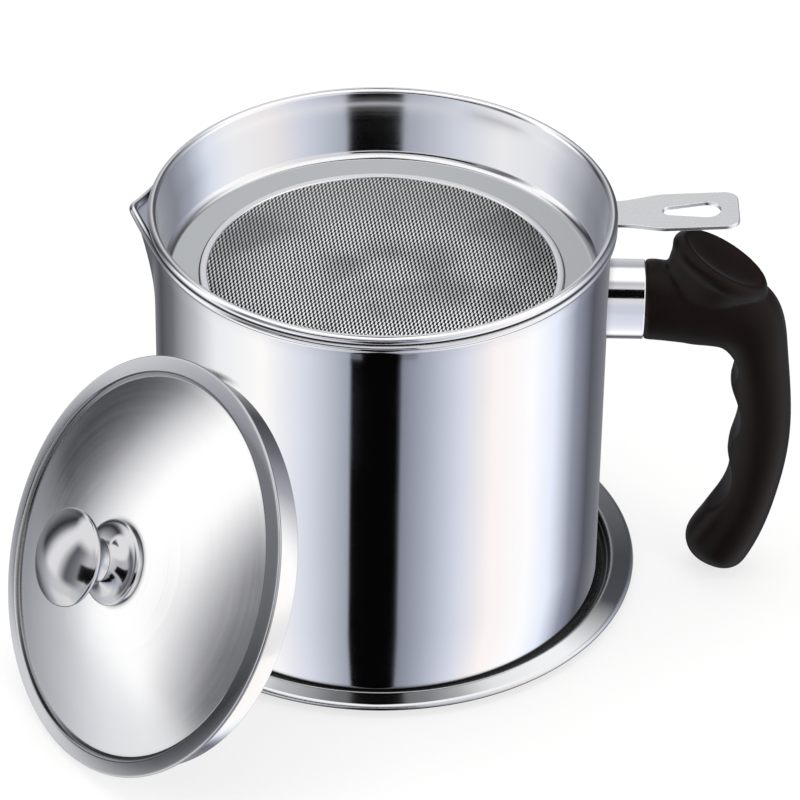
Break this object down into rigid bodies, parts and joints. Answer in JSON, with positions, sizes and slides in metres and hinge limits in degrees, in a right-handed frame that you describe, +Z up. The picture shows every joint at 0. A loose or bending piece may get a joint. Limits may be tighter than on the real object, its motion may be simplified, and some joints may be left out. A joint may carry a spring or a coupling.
{
  "type": "grease strainer pot",
  "caption": "Polished steel pot with pour spout and black moulded handle, drop-in mesh strainer with lifting tab, domed lid taken off and leaning against it, and round drip tray.",
  "frame": {"origin": "centre of the face the drip tray rests on, on the axis of the pot", "axes": "+Z up along the axis of the pot; +X towards the handle; -X towards the pour spout"},
  "size_m": [0.2271, 0.205, 0.1257],
  "materials": {
    "polished_steel": "drawn stainless steel sheet, mirror polished",
    "tray_steel": "stamped stainless steel sheet, bright rolled",
    "bright_steel": "blanked stainless steel, lightly brushed",
    "steel_mesh": "fine plain-woven stainless steel wire",
    "black_phenolic": "satin moulded black phenolic resin",
    "zinc_screw": "zinc plated steel"
  },
  "bodies": {
    "tray": {"drip_tray": "tray_steel"},
    "pot": {"pot_shell": "polished_steel", "handle_bracket": "bright_steel", "handle_ferrule": "polished_steel", "handle_grip": "black_phenolic", "handle_screw": "zinc_screw", "handle_washer": "zinc_screw"},
    "strainer": {"strainer_collar": "polished_steel", "strainer_mesh": "steel_mesh", "mesh_retaining_ring": "polished_steel", "strainer_tab": "bright_steel"},
    "lid": {"lid_shell": "polished_steel", "lid_skirt": "polished_steel", "knob_base": "polished_steel", "knob_cap": "polished_steel", "knob_screw": "zinc_screw", "knob_washer": "zinc_screw"}
  },
  "joints": [
    {"name": "pot_lift", "type": "slide", "parent": "tray", "child": "pot", "axis": [0, 0, 1], "range_m": [0, 0.12]},
    {"name": "strainer_lift", "type": "slide", "parent": "pot", "child": "strainer", "axis": [0, 0, 1], "range_m": [0, 0.06]},
    {"name": "lid_slide", "type": "slide", "parent": "tray", "child": "lid", "axis": [-0.732, -0.4937, 0.4695], "range_m": [0, 0.04]}
  ]
}
